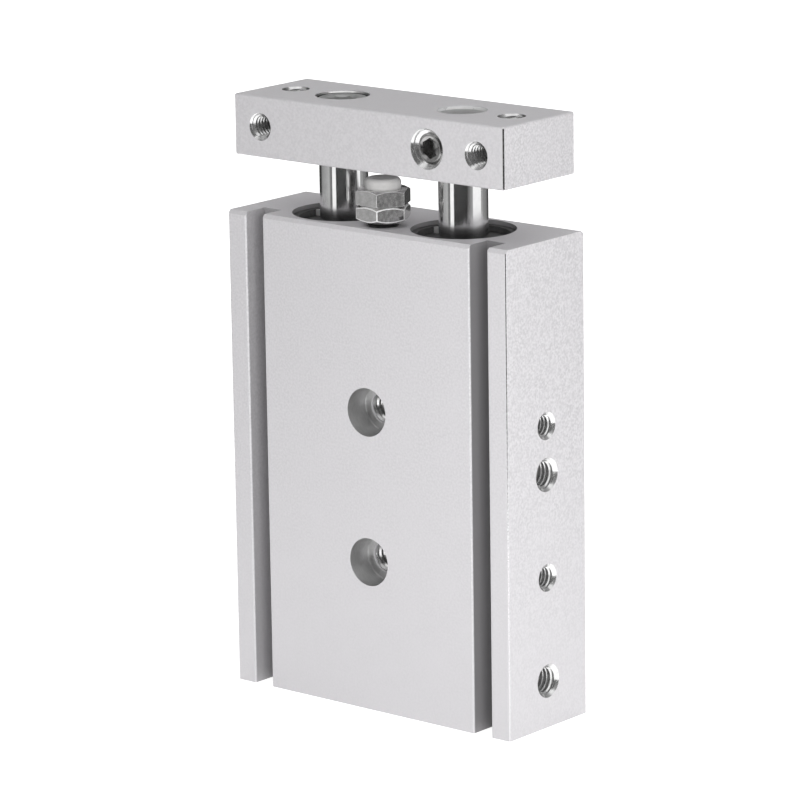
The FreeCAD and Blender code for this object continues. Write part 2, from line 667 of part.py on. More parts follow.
def make_tool_plate():
    """Plate with both rods' seats and its threaded holes in the top and front faces."""
    corner = point(-PLATE_WIDTH / 2, -PLATE_DEPTH / 2, PLATE_BOTTOM)
    plate = Part.makeBox(PLATE_WIDTH, PLATE_DEPTH, PLATE_THICKNESS, corner)
    plate = plate.makeChamfer(PLATE_CHAMFER, plate.Edges)
    up = point(0, 0, 1)
    front = point(0, -1, 0)
    seat_radius = ROD_RADIUS + FIT_CLEARANCE
    left = SIDES["left"]
    right = SIDES["right"]
    head_radius = CAP_HEAD_DIAMETER / 2 + CAP_COUNTERBORE_CLEARANCE
    shank_radius = CAP_SCREW_DIAMETER / 2 + CAP_SHANK_CLEARANCE
    tools = [
        disc(seat_radius, PLATE_BOTTOM - CUT_MARGIN, PLATE_BOTTOM + ROD_SEAT_DEPTH, left),
        disc(shank_radius, PLATE_BOTTOM, PLATE_TOP, left),
        disc(head_radius, CAP_HEAD_BOTTOM, PLATE_TOP + CUT_MARGIN, left),
        disc(seat_radius, PLATE_BOTTOM - CUT_MARGIN, PLATE_TOP + CUT_MARGIN, right),
    ]
    clamp_mouth = point(right, -PLATE_DEPTH / 2, PLATE_MIDDLE)
    tools.append(blind_hole(clamp_mouth, front, CLAMP_SCREW_DIAMETER / 2, PLATE_DEPTH / 2 - ROD_RADIUS / 2))
    thread_radius = PLATE_THREAD_DIAMETER / 2
    for x in (-PLATE_HOLE_X, PLATE_HOLE_X):
        tools.append(blind_hole(point(x, 0, PLATE_TOP), up, thread_radius, PLATE_TOP_THREAD_DEPTH))
        mouth = point(x, -PLATE_DEPTH / 2, PLATE_MIDDLE)
        tools.append(blind_hole(mouth, front, thread_radius, PLATE_FRONT_THREAD_DEPTH))
    return plate.cut(tools)


def make_cap_screw():
    """Socket head screw that holds the left rod to the plate."""
    x = SIDES["left"]
    shank = CAP_SCREW_DIAMETER / 2
    head = CAP_HEAD_DIAMETER / 2
    head_top = CAP_HEAD_BOTTOM + CAP_HEAD_HEIGHT
    profile = [(0, CAP_SCREW_TIP), (shank - EDGE_BREAK, CAP_SCREW_TIP), (shank, CAP_SCREW_TIP + EDGE_BREAK),
               (shank, CAP_HEAD_BOTTOM), (head, CAP_HEAD_BOTTOM), (head, head_top - EDGE_BREAK),
               (head - EDGE_BREAK, head_top), (0, head_top)]
    socket = hexagon(CAP_SOCKET_FLATS, head_top - CAP_SOCKET_DEPTH, head_top + CUT_MARGIN, x)
    return turned(profile, x).cut(socket)


def make_clamp_screw():
    mouth = point(SIDES["right"], -PLATE_DEPTH / 2 + CLAMP_SCREW_RECESS, PLATE_MIDDLE)
    radius = CLAMP_SCREW_DIAMETER / 2 - FIT_CLEARANCE
    front = point(0, -1, 0)
    return set_screw(mouth, front, radius, CLAMP_SCREW_LENGTH, CLAMP_SOCKET_FLATS, CLAMP_SOCKET_DEPTH)


# ---------------------------------------------------------------- stop screw


def make_stop_bolt():
    """Hexagon head screw between the rods, drilled in the head for the pad's stem."""
    y = -STOP_OFFSET
    radius = STOP_SCREW_DIAMETER / 2 - SCREW_CLEARANCE
    tip = STOP_HEAD_BOTTOM - STOP_SCREW_LENGTH
    profile = [(0, tip), (radius - EDGE_BREAK, tip), (radius, tip + EDGE_BREAK),
               (radius, STOP_HEAD_BOTTOM), (0, STOP_HEAD_BOTTOM)]
    head = hex_blank(HEX_FLATS, STOP_HEAD_BOTTOM, PAD_BOTTOM, 0, y, STOP_HEX_HEADING, False)
    stem_hole = disc(PAD_STEM_DIAMETER / 2 + SCREW_CLEARANCE,
                     PAD_BOTTOM - PAD_STEM_LENGTH - END_GAP, PAD_BOTTOM + CUT_MARGIN, 0, y)
    return head.fuse(turned(profile, 0, y)).cut(stem_hole)


def make_lock_nut():
    return thin_nut(NUT_BOTTOM, 0, -STOP_OFFSET, STOP_HEX_HEADING, STOP_SCREW_DIAMETER / 2)


def make_bumper_pad():
    """Urethane button with a rounded rim and a stem that sits in the bolt's head."""
    y = -STOP_OFFSET
    button = disc(PAD_DIAMETER / 2, PAD_BOTTOM + FIT_CLEARANCE, PAD_TOP, 0, y)
    rim = [edge for edge in button.Edges if abs(edge.CenterOfMass.z - PAD_TOP) < SAME_PLACE]
    button = button.makeFillet(PAD_ROUND, rim)
    stem = disc(PAD_STEM_DIAMETER / 2, PAD_BOTTOM - PAD_STEM_LENGTH, PAD_BOTTOM + PAD_HEIGHT / 2, 0, y)
    return button.fuse(stem)


# ---------------------------------------------------------------- all pieces

SINGLE_PIECES = {
    "housing": make_housing,
    "port_plugs": make_port_plugs,
    "tool_plate": make_tool_plate,
    "left_rod": make_left_rod,
    "right_rod": make_right_rod,
    "plate_cap_screw": make_cap_screw,
    "rod_clamp_screw": make_clamp_screw,
    "stop_bolt": make_stop_bolt,
    "lock_nut": make_lock_nut,
    "bumper_pad": make_bumper_pad,
}

PIECES_PER_BORE = {
    "rod_cover": make_rod_cover,
    "rod_bush": make_bush,
    "rod_seal": make_rod_seal,
    "rod_cover_oring": make_cover_oring,
    "rod_snap_ring": make_rod_snap_ring,
    "head_cover": make_head_cover,
    "head_cover_oring": make_head_oring,
    "head_snap_ring": make_head_snap_ring,
    "piston": make_piston,
    "piston_seal": make_piston_seal,
    "piston_magnet": make_magnet,
    "piston_washer": make_piston_washer,
    "piston_nut": make_piston_nut,
    "lower_cushion": make_lower_cushion,
    "upper_cushion": make_upper_cushion,
}


def main():
    os.makedirs("parts", exist_ok=True)
    for name, make in SINGLE_PIECES.items():
        make().exportStep("parts/" + name + ".step")
    for side, x in SIDES.items():
        for name, make in PIECES_PER_BORE.items():
            make(x).exportStep("parts/" + side + "_" + name + ".step")


main()
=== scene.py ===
import json
import math

import bmesh
import bpy
from mathutils import Matrix, Vector


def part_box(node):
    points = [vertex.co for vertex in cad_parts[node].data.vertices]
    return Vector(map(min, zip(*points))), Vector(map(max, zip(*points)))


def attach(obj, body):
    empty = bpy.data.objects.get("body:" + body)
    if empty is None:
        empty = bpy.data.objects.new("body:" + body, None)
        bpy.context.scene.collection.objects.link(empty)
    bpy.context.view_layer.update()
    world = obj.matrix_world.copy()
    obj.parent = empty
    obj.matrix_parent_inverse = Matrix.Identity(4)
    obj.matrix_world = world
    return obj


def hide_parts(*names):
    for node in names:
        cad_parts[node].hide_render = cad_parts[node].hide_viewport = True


# Looks of the guided pneumatic cylinder: finishes, screw threads and hole linings around
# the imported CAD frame, in a plain studio. Metres, in the CAD's own frame.

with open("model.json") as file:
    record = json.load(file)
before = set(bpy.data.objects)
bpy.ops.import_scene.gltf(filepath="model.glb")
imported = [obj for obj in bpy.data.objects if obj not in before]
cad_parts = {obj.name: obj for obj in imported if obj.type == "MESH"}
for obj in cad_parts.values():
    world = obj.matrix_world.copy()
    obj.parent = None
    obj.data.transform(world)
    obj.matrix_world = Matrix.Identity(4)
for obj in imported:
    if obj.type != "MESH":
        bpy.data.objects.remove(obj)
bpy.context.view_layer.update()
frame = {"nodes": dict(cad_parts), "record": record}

MM = 0.001

# ---------------------------------------------------------------- sizes from the frame

MOUNTS = {mount["name"]: mount for mount in frame["record"]["mounts"]}
HOUSING_LOW, HOUSING_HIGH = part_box("housing")
PLATE_LOW, PLATE_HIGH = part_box("tool_plate")
CLAMP_LOW, CLAMP_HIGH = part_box("rod_clamp_screw")
HEAD_LOW, HEAD_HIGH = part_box("stop_bolt")
NUT_LOW, NUT_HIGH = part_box("lock_nut")

COUNTERSINK = 0.3 * MM          # of every threaded hole in the CAD
SKIN = 0.012 * MM               # how far a lining stands off the CAD surface
PROUD = 0.008 * MM              # how far a lining's rim lies over a flat face
PLATE_SHADE = 0.035             # how much darker the plate's anodising is than the housing's
M4_PITCH = 0.7 * MM
M5_PITCH = 0.8 * MM
M6_PITCH = 1.0 * MM
M5_SHANK_RADIUS = 2.46 * MM
THREAD_DEPTH_PER_PITCH = 0.54   # of a cut internal thread
THREAD_CREST = 0.18             # widths as shares of the pitch
THREAD_ROOT = 0.22
THREAD_STEPS = 40               # points to each turn
PLATE_THREAD_DEPTHS = {"plate_front_threads": 6.0 * MM, "plate_top_threads": 8.0 * MM}
SIDE_THREAD_DEPTH = 6.0 * MM
PORT_THREAD_DEPTH = 5.4 * MM
BODY_THREAD_DEPTH = 5.2 * MM    # below the floor of each counterbore
COUNTERBORE_RADIUS = 4.0 * MM
COUNTERBORE_DEPTH = 4.5 * MM
GROOVE_CENTRE = MOUNTS["right_switch_groove"]["pos_m"][0]
GROOVE_HALF_WIDTH = 1.8 * MM
GROOVE_DEPTH = 4.7 * MM
BRIGHT_EDGE_START = 26.4 * MM   # off centre, of the rounded upright edges
BRIGHT_EDGE_FULL = 27.2 * MM
HEXAGON_FLATS = 8.0 * MM        # of the stop bolt's head and its lock nut
HEXAGON_CORNER = -3.0           # one corner's heading in degrees from +X
HEXAGON_EDGE = 0.20 * MM
HEXAGON_STEPS = 72              # points round a hexagon or a screw
LINING_STEPS = 56               # points round a turned lining
ROD_LOW, ROD_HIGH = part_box("right_rod")
BORE_CENTRE = (ROD_LOW.x + ROD_HIGH.x) / 2
RECESS_RADIUS = 8.5 * MM        # of each bore's mouth in the housing's top
RING_INNER_RADIUS = 7.5 * MM    # of the snap rings, apart from their lugs

# ---------------------------------------------------------------- studio values

CAMERA_TARGET = Vector((-0.76, -0.64, 50.16)) * MM
CAMERA_DISTANCE = 0.7518
CAMERA_HEADING = 40.0379        # degrees from the front face's normal towards +X
CAMERA_ELEVATION = 13.3608
CAMERA_ROLL = -0.85326
CAMERA_LENS = 207.934           # mm on a 36 mm sensor

# Area lamps: heading and elevation in degrees, distance and width in metres, watts.
SOFTBOXES = {
    "front_softbox": (49.5, 6.0, 0.36, 0.21, 1.03),
    "side_softbox": (100.0, 0.0, 0.60, 0.35, 0.29),
    "back_softbox": (225.0, 27.0, 1.6, 0.9, 9.5),
    "top_softbox": (15.0, 58.0, 1.8, 0.8, 4.1),
    "rear_top_softbox": (200.0, 62.0, 1.8, 1.2, 3.3),
}
SOFT_LIGHT = 0.42               # of the world, on everything that isn't seen directly
FLOOR_GLOW = 0.84               # added to the floor where it is seen, up to white
FLOOR_HALF_WIDTH = 6.0
TENT_RADIUS = 0.19
TENT_FOOT = 0.001
TENT_HEIGHT = 0.42
CARD_STEPS = 24
# Reflector cards round the object, seen only in polished metal. Each one spans two angles
# from the camera's heading, positive to the camera's right, and has a brightness at both.
TENT_CARDS = [
    (-180, -128, 0.03, 0.05),
    (-128, -74, 0.24, 0.46),
    (-74, -60, 0.30, 0.10),
    (-60, -41, 1.00, 1.00),
    (-41, 18, 0.045, 0.035),
    (18, 44, 0.05, 0.40),
    (44, 84, 1.00, 1.00),
    (84, 130, 0.36, 0.17),
    (130, 180, 0.10, 0.03),
]


# ---------------------------------------------------------------- node helpers


class Shader:
    """A material under construction: short calls that add and link its nodes."""

    def __init__(self, name):
        self.material = bpy.data.materials.new(name)
        self.material.use_nodes = True
        self.tree = self.material.node_tree
        self.tree.nodes.clear()
        self.output = self.tree.nodes.new("ShaderNodeOutputMaterial")
        self.place = self.tree.nodes.new("ShaderNodeTexCoord").outputs["Object"]

    def node(self, kind, **settings):
        made = self.tree.nodes.new(kind)
        for key, value in settings.items():
            setattr(made, key, value)
        return made

    def link(self, source, target):
        self.tree.links.new(source, target)

    def feed(self, node, inputs):
        """Set or link each named input of a node."""
        for key, value in inputs.items():
            socket = node.inputs[key]
            if isinstance(value, bpy.types.NodeSocket):
                self.link(value, socket)
            else:
                socket.default_value = value
        return node

    def stretched(self, scale):
        """Object coordinates scaled along each axis."""
        mapping = self.node("ShaderNodeMapping")
        self.feed(mapping, {"Vector": self.place, "Scale": scale})
        return mapping.outputs["Vector"]

    def noise(self, scale, detail=2.0, roughness=0.5, vector=None):
        texture = self.node("ShaderNodeTexNoise")
        self.feed(texture, {"Vector": vector or self.place, "Scale": scale, "Detail": detail,
                            "Roughness": roughness, "Distortion": 0.0})
        return texture.outputs["Fac"]

    def spread(self, source, low, high, start=0.3, end=0.7):
        """Map a value from start..end to low..high."""
        ranged = self.node("ShaderNodeMapRange", clamp=True)
        self.feed(ranged, {"Value": source, "From Min": start, "From Max": end,
                           "To Min": low, "To Max": high})
        return ranged.outputs["Result"]

    def mix(self, factor, first, second):
        blend = self.node("ShaderNodeMix", data_type="RGBA")
        return self.feed(blend, {0: factor, 6: first, 7: second}).outputs[2]

    def math(self, operation, first, second=0.0):
        node = self.node("ShaderNodeMath", operation=operation)
        return self.feed(node, {0: first, 1: second}).outputs[0]

    def product(self, first, *others):
        for other in others:
            first = self.math("MULTIPLY", first, other)
        return first

    def bump(self, height, strength, distance, below=None):
        inputs = {"Height": height, "Strength": strength, "Distance": distance}
        if below is not None:
            inputs["Normal"] = below
        return self.feed(self.node("ShaderNodeBump"), inputs).outputs["Normal"]

    def facing(self):
        """The three parts of the surface's normal, in the object's own axes."""
        geometry = self.node("ShaderNodeNewGeometry")
        turned = self.node("ShaderNodeVectorTransform", vector_type="NORMAL",
                           convert_from="WORLD", convert_to="OBJECT")
        self.link(geometry.outputs["Normal"], turned.inputs[0])
        split = self.node("ShaderNodeSeparateXYZ")
        self.link(turned.outputs[0], split.inputs[0])
        return split.outputs

    def round_about(self):
        """Direction round the upright axis, along the surface."""
        geometry = self.node("ShaderNodeNewGeometry")
        cross = self.node("ShaderNodeVectorMath", operation="CROSS_PRODUCT")
        return self.feed(cross, {0: geometry.outputs["Normal"], 1: (0, 0, 1)}).outputs[0]

    def position(self):
        split = self.node("ShaderNodeSeparateXYZ")
        self.link(self.place, split.inputs[0])
        return split.outputs

    def finish(self, **inputs):
        """Principled surface; each argument is a socket's name with _ for its spaces."""
        surface = self.node("ShaderNodeBsdfPrincipled")
        named = {key.replace("_", " "): value for key, value in inputs.items()}
        self.feed(surface, named)
        self.link(surface.outputs[0], self.output.inputs["Surface"])
        return self.material


def grey(level, warm=0.0):
    return (level * (1 + warm), level, level * (1 - warm), 1.0)


def greys(low, high, warm=0.0):
    return grey(low, warm), grey(high, warm)


# ---------------------------------------------------------------- finishes


ANODISED_SPECKS = ((0.600, 0.589, 0.606, 1), (0.780, 0.767, 0.787, 1))
ANODISED_EVEN = (0.715, 0.702, 0.722, 1)
# Painted shade of the groove walls and of the recesses round the bores.
GROOVE_PAINTED_SHADE = (0.275, 0.269, 0.277, 1)
RECESS_PAINTED_SHADE = (0.275, 0.270, 0.277, 1)


def groove_shade_mask(s):
    """1 inside the two switch grooves, whose walls get painted shade."""
    x, y = s.position()[:2]
    off_centre = s.math("ABSOLUTE", s.math("SUBTRACT", s.math("ABSOLUTE", x), GROOVE_CENTRE))
    wall = GROOVE_HALF_WIDTH
    mouth = HOUSING_LOW.y
    floor = mouth + GROOVE_DEPTH
    return s.product(s.spread(off_centre, 1.0, 0.0, wall + 0.02 * MM, wall + 0.10 * MM),
                     s.spread(y, 0.0, 1.0, mouth + 0.12 * MM, mouth + 0.4 * MM),
                     s.spread(y, 1.0, 0.0, floor + 0.1 * MM, floor + 0.2 * MM))


def within_bores(s, radius):
    """1 nearer than a radius to either bore's axis, 0 outside."""
    x, y = s.position()[:2]
    off_axis = s.math("SUBTRACT", s.math("ABSOLUTE", x), BORE_CENTRE)
    squares = s.math("ADD", s.product(off_axis, off_axis), s.product(y, y))
    return s.spread(s.math("SQRT", squares), 1.0, 0.0, radius, radius + 0.06 * MM)


def blasted_tone(s, blast, side, end):
    """Specks of the bead blasting: strongest on the sides, faint on the ends and low down,
    and evened out a little in clouds."""
    cloud = s.noise(240.0, 3.0, 0.6)
    flank = s.spread(side, 0.0, 1.0, 0.5, 0.9)
    speck = s.product(s.spread(blast, -1.0, 1.0, 0.32, 0.68), s.spread(flank, 0.45, 1.0, 0.0, 1.0),
                      s.spread(end, 1.0, 0.25, 0.0, 1.0),
                      s.spread(s.position()[2], 0.35, 1.0, 10.0 * MM, 50.0 * MM))
    fine = s.mix(s.spread(speck, 0.0, 1.0, -1.0, 1.0), *ANODISED_SPECKS)
    return s.mix(s.spread(cloud, 0.0, 0.35, 0.35, 0.65), fine, ANODISED_EVEN)


def painted_hollow_shade(s, tone):
    """Painted shade: darker tone in the grooves, more so towards +X, and in the recesses and bores.
    """
    share = s.spread(s.position()[0], 0.55, 0.97, -GROOVE_CENTRE, GROOVE_CENTRE)
    tone = s.mix(s.product(groove_shade_mask(s), share), tone, GROOVE_PAINTED_SHADE)
    recess = s.product(within_bores(s, RECESS_RADIUS + 0.02 * MM), 0.9)
    return s.mix(recess, tone, RECESS_PAINTED_SHADE)


def clear_anodised(name, with_painted_shade):
    """Bead blasted, clear anodised aluminium; rounded upright edges are smooth and bright."""
    s = Shader(name)
    blast = s.noise(2600.0, 1.0, 0.5)
    grit = s.noise(5200.0, 1.0, 0.5)
    nx, ny, nz = s.facing()
    side = s.math("ABSOLUTE", nx)
    end = s.spread(s.math("ABSOLUTE", nz), 0.0, 1.0, 0.5, 0.9)
    tone = blasted_tone(s, blast, side, end)
    # The housing's copy gets painted shade in its grooves and recesses.
    if with_painted_shade:
        tone = painted_hollow_shade(s, tone)
    else:
        tone = s.mix(PLATE_SHADE, tone, grey(0.0))
    slanted = s.spread(s.product(side, s.math("ABSOLUTE", ny)), 0.0, 1.0, 0.38, 0.44)
    off_centre = s.math("ABSOLUTE", s.position()[0])
    outermost = s.spread(off_centre, 0.0, 1.0, BRIGHT_EDGE_START, BRIGHT_EDGE_FULL)
    edge = s.product(slanted, outermost)
    rough = s.math("SUBTRACT", s.spread(grit, 0.46, 0.56), s.product(edge, 0.30))
    metal = s.math("ADD", 0.22, s.product(edge, 0.76))
    return s.finish(Base_Color=tone, Metallic=metal, Roughness=rough,
                    Normal=s.bump(blast, 0.30, 0.00006))


def grained(name, scale, tones, roughness, metallic, relief, detail=2.0, coarseness=0.5,
            stretch=None, **more):
    """Finish whose tone, roughness and relief all follow one fine grain.

    tones and roughness are (low, high), and relief is a bump's (strength, height in metres).
    """
    s = Shader(name)
    grain = s.noise(scale, detail, coarseness, s.stretched(stretch) if stretch else None)
    return s.finish(Base_Color=s.mix(s.spread(grain, 0.0, 1.0), *tones), Metallic=metallic,
                    Roughness=s.spread(grain, *roughness), Normal=s.bump(grain, *relief), **more)


def bright_cut():
    """Bare cut aluminium of countersinks, threads and the cap screw hole's chamfer."""
    return grained("bright_cut", 900.0, greys(0.70, 0.86), (0.16, 0.25), 0.9, (0.08, 0.00002))


def lit_cut():
    """Bare, finely cut aluminium of the rod's hole in the plate's top."""
    return grained("lit_cut", 900.0, greys(0.84, 0.94), (0.26, 0.36), 0.20, (0.08, 0.00002))


def painted_shade_steel():
    """Dark steel as painted shade: the stop screw's thread in the gap under the nut, and the wall
    round the cap screw's head.
    """
    return grained("painted_shade_steel", 1300.0, greys(0.05, 0.10), (0.30, 0.42), 0.7, (0.08, 0.00002))


def satin_cut():
    """Fine turned aluminium of the counterbores: duller than the threads."""
    return grained("satin_cut", 1300.0, greys(0.56, 0.66), (0.34, 0.44), 0.85, (0.10, 0.00003),
                   stretch=(1.0, 4.0, 1.0))


def ground_steel():
    """Ground end of a rod, and the cap screw's head."""
    return grained("ground_steel", 1500.0, greys(0.52, 0.62), (0.42, 0.54), 0.7, (0.12, 0.00003),
                   detail=3.0, coarseness=0.6)


def plain_aluminium():
    return grained("plain_aluminium", 500.0, greys(0.56, 0.70), (0.26, 0.38), 1.0, (0.15, 0.00004),
                   detail=3.0, coarseness=0.6, stretch=(1.0, 1.0, 9.0))


def black_anodised():
    return grained("black_anodised", 1100.0, greys(0.110, 0.130), (0.5, 0.6), 0.2, (0.05, 0.00001))


def bronze():
    tones = ((0.42, 0.27, 0.12, 1), (0.56, 0.38, 0.18, 1))
    return grained("bronze", 600.0, tones, (0.28, 0.42), 1.0, (0.12, 0.00003),
                   detail=3.0, coarseness=0.6, stretch=(1.0, 1.0, 8.0))


def black_rubber():
    return grained("black_rubber", 1500.0, greys(0.012, 0.03), (0.55, 0.75), 0.0, (0.2, 0.00004),
                   detail=4.0, coarseness=0.6)


def magnet():
    return grained("magnet", 2200.0, greys(0.03, 0.07), (0.5, 0.7), 0.2, (0.25, 0.00004),
                   detail=3.0, coarseness=0.6)


def painted_edge_highlight():
    """Painted highlight on the rounded edges of plated hexagons: a bright, dull finish that looks
    lit from every side.
    """
    return grained("painted_edge_highlight", 1500.0, greys(0.80, 0.92), (0.34, 0.44), 0.45, (0.05, 0.00001))


def screw_steel():
    return grained("screw_steel", 1500.0, greys(0.34, 0.50, 0.006), (0.22, 0.36), 1.0,
                   (0.12, 0.00002), detail=3.0, coarseness=0.6)


def urethane():
    tones = ((0.52, 0.36, 0.12, 1), (0.62, 0.45, 0.18, 1))
    return grained("urethane", 900.0, tones, (0.38, 0.5), 0.0, (0.1, 0.00003), detail=3.0)


def white_urethane():
    tones = ((0.50, 0.496, 0.49, 1), (0.57, 0.566, 0.56, 1))
    return grained("white_urethane", 1100.0, tones, (0.34, 0.48), 0.0, (0.12, 0.00004),
                   detail=3.0, Subsurface_Weight=0.25, Subsurface_Scale=0.0006,
                   Subsurface_Radius=(1.0, 1.0, 1.0))


def hard_chrome():
    """Ground and chromed rod: fine marks round it blur reflections along the rod."""
    s = Shader("hard_chrome")
    rings = s.noise(260.0, 4.0, 0.7, s.stretched((1.0, 1.0, 60.0)))
    haze = s.noise(700.0, 2.0, 0.5)
    tone = s.mix(s.spread(haze, 0.0, 1.0), *greys(0.86, 0.93))
    return s.finish(Base_Color=tone, Metallic=1.0, Roughness=s.spread(rings, 0.095, 0.125),
                    Anisotropic=1.0, Anisotropic_Rotation=0.25, Tangent=s.round_about(),
                    Normal=s.bump(rings, 0.04, 0.000006))


def spring_steel():
    """Dark phosphated ring, with a painted highlight on its lugs: a near white glint."""
    s = Shader("spring_steel")
    scale = s.noise(1400.0, 3.0, 0.6)
    dark = s.mix(s.spread(scale, 0.0, 1.0), *greys(0.12, 0.18))
    # Painted highlight: near white inside the ring's inner radius, where the lugs are.
    tone = s.mix(within_bores(s, RING_INNER_RADIUS - 0.1 * MM), dark, grey(0.86))
    return s.finish(Base_Color=tone, Metallic=0.45, Roughness=s.spread(scale, 0.3, 0.42),
                    Normal=s.bump(scale, 0.08, 0.00001))


def plated_steel():
    """Bright plated hexagons: forged flats a little uneven, so that reflections waver."""
    s = Shader("plated_steel")
    waver = s.noise(420.0, 2.0, 0.6)
    grain = s.noise(1500.0, 2.0, 0.5)
    tone = s.mix(s.spread(grain, 0.0, 1.0), *greys(0.70, 0.82, 0.006))
    surface = s.bump(grain, 0.03, 0.00001, s.bump(waver, 1.0, 0.00014))
    return s.finish(Base_Color=tone, Metallic=1.0, Roughness=s.spread(grain, 0.12, 0.18),
                    Normal=surface)


FINISHES = {
    "clear_anodised": clear_anodised("clear_anodised", False),
    "plain_aluminium": plain_aluminium(),
    "black_anodised": black_anodised(),
    "hard_chrome": hard_chrome(),
    "bronze": bronze(),
    "black_rubber": black_rubber(),
    "spring_steel": spring_steel(),
    "magnet": magnet(),
    "plated_steel": plated_steel(),
    "screw_steel": screw_steel(),
    "urethane": urethane(),
    "white_urethane": white_urethane(),
}
# The housing's finish, with painted shade in its grooves and recesses.
ANODISED_WITH_PAINTED_SHADE = clear_anodised("clear_anodised_painted_shade", True)
BRIGHT_CUT = bright_cut()
LIT_CUT = lit_cut()
PAINTED_SHADE_STEEL = painted_shade_steel()
SATIN_CUT = satin_cut()
GROUND_STEEL = ground_steel()
PAINTED_EDGE_HIGHLIGHT = painted_edge_highlight()


def finish_cad_nodes():
    """Give every CAD node the finish of its material slot."""
    for part in frame["record"]["subparts"]:
        node = frame["nodes"][part["node"]]
        node.data.materials.clear()
        node.data.materials.append(FINISHES[part["material_slot"]])
    frame["nodes"]["housing"].data.materials[0] = ANODISED_WITH_PAINTED_SHADE


# ---------------------------------------------------------------- mesh pieces


BEVELLED_SMOOTH_ANGLE = 12.0    # keeps a rounded edge's shading off the flats beside it


def add_piece(name, vertices, faces, material, body, smooth_angle=35.0, edge_width=0.0):
    """Mesh piece of one body; an edge width rounds its sharp edges and gives them a painted
    highlight.
    """
    mesh = bpy.data.meshes.new(name)
    mesh.from_pydata(vertices, [], faces)
    mesh.materials.append(material)
    tidy = bmesh.new()
    tidy.from_mesh(mesh)
    bmesh.ops.remove_doubles(tidy, verts=tidy.verts, dist=1e-7)
    bmesh.ops.recalc_face_normals(tidy, faces=tidy.faces)
    if edge_width:
        # The rounded edges get a painted highlight in a bright material.
        mesh.materials.append(PAINTED_EDGE_HIGHLIGHT)
        sharp = [edge for edge in tidy.edges
                 if edge.calc_face_angle(0.0) > math.radians(smooth_angle) and edge.is_convex]
        bmesh.ops.bevel(tidy, geom=sharp, offset=edge_width, offset_type="OFFSET", segments=2,
                        profile=0.5, affect="EDGES", material=1, clamp_overlap=True)
    tidy.to_mesh(mesh)
    tidy.free()
    mesh.shade_smooth()
    soft_up_to = BEVELLED_SMOOTH_ANGLE if edge_width else smooth_angle
    mesh.set_sharp_from_angle(angle=math.radians(soft_up_to))
    piece = bpy.data.objects.new(name, mesh)
    bpy.context.scene.collection.objects.link(piece)
    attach(piece, body)
    return piece


def hole_axes(outward):
    """Two directions across a hole, for a circle that turns right-handed about its axis."""
    outward = Vector(outward)
    across = Vector((0, 0, 1)) if abs(outward.z) < 0.9 else Vector((1, 0, 0))
    first = across.cross(outward).normalized()
    return first, outward.cross(first)


def surface_point(mouth, outward, first, second, radius, angle, depth):
    return (Vector(mouth) - Vector(outward) * depth
            + first * (radius * math.cos(angle)) + second * (radius * math.sin(angle)))


def closed_bands(rings, steps):
    """Faces between rings of points, each of which closes on itself."""
    faces = []
    for row in range(rings - 1):
        for step in range(steps):
            after = (step + 1) % steps
            a = row * steps
            b = a + steps
            faces.append((a + step, a + after, b + after, b + step))
    return faces


def capped_bands(rings, steps):
    """Closed bands with a flat face on the first ring and on the last."""
    last = (rings - 1) * steps
    return closed_bands(rings, steps) + [tuple(range(steps)), tuple(range(last, last + steps))]


def helical_bands(points, steps):
    """Faces between the rows of a thread's points, whose ends don't meet."""
    faces = []
    for row in range(points // (steps + 1) - 1):
        for step in range(steps):
            a = row * (steps + 1) + step
            b = a + steps + 1
            faces.append((a, a + 1, b + 1, b))
    return faces


def thread_profile():
    """One turn's outline as (share of the pitch, height from root 0 to crest 1)."""
    flank = (1 - THREAD_CREST - THREAD_ROOT) / 2
    return [(0.0, 0.0), (THREAD_ROOT, 0.0), (THREAD_ROOT + flank / 2, 0.5),
            (THREAD_ROOT + flank, 1.0), (THREAD_ROOT + flank + THREAD_CREST, 1.0),
            (1.0 - flank / 2, 0.5)]


def thread_points(pitch, turns):
    """A helix's points, row by row: the angle, the run along the axis and the height."""
    for turn in turns:
        for share, height in thread_profile():
            for step in range(THREAD_STEPS + 1):
                run = (turn + share + step / THREAD_STEPS) * pitch
                yield 2 * math.pi * step / THREAD_STEPS, run, height


def internal_thread(name, mouth, outward, radius, pitch, depth, body, start=0.0):
    """Helical thread in a hole, with a countersunk mouth that cuts its first turns away."""
    first, second = hole_axes(outward)
    ridge = pitch * THREAD_DEPTH_PER_PITCH
    root = radius - SKIN
    vertices = []
    for angle, run, height in thread_points(pitch, range(-1, math.ceil(depth / pitch) + 1)):
        deep = min(max(run, start), depth)
        cone = radius + COUNTERSINK - SKIN - (deep - start)
        wall = max(root - ridge * height, min(cone, root + COUNTERSINK))
        vertices.append(surface_point(mouth, outward, first, second, wall, angle, deep))
    faces = helical_bands(len(vertices), THREAD_STEPS)
    return add_piece(name, vertices, faces, BRIGHT_CUT, body)


def turned_lining(name, mouth, outward, profile, material, body):
    """Surface of revolution in a hole, from (radius, depth) corners."""
    first, second = hole_axes(outward)
    steps = LINING_STEPS
    vertices = []
    for radius, deep in profile:
        for step in range(steps):
            angle = 2 * math.pi * step / steps
            vertices.append(surface_point(mouth, outward, first, second, radius, angle, deep))
    faces = closed_bands(len(profile), steps)
    return add_piece(name, vertices, faces, material, body, smooth_angle=25.0)


def pattern_places(name):
    """Centres of a bolt pattern's two holes."""
    mount = MOUNTS[name]
    centre = Vector(mount["pos_m"])
    spacing = mount["dims"]
    if "spacing_x_mm" in spacing:
        step = Vector((spacing["spacing_x_mm"] * MM / 2, 0, 0))
    else:
        step = Vector((0, 0, spacing["spacing_y_mm"] * MM / 2))
    return centre - step, centre + step


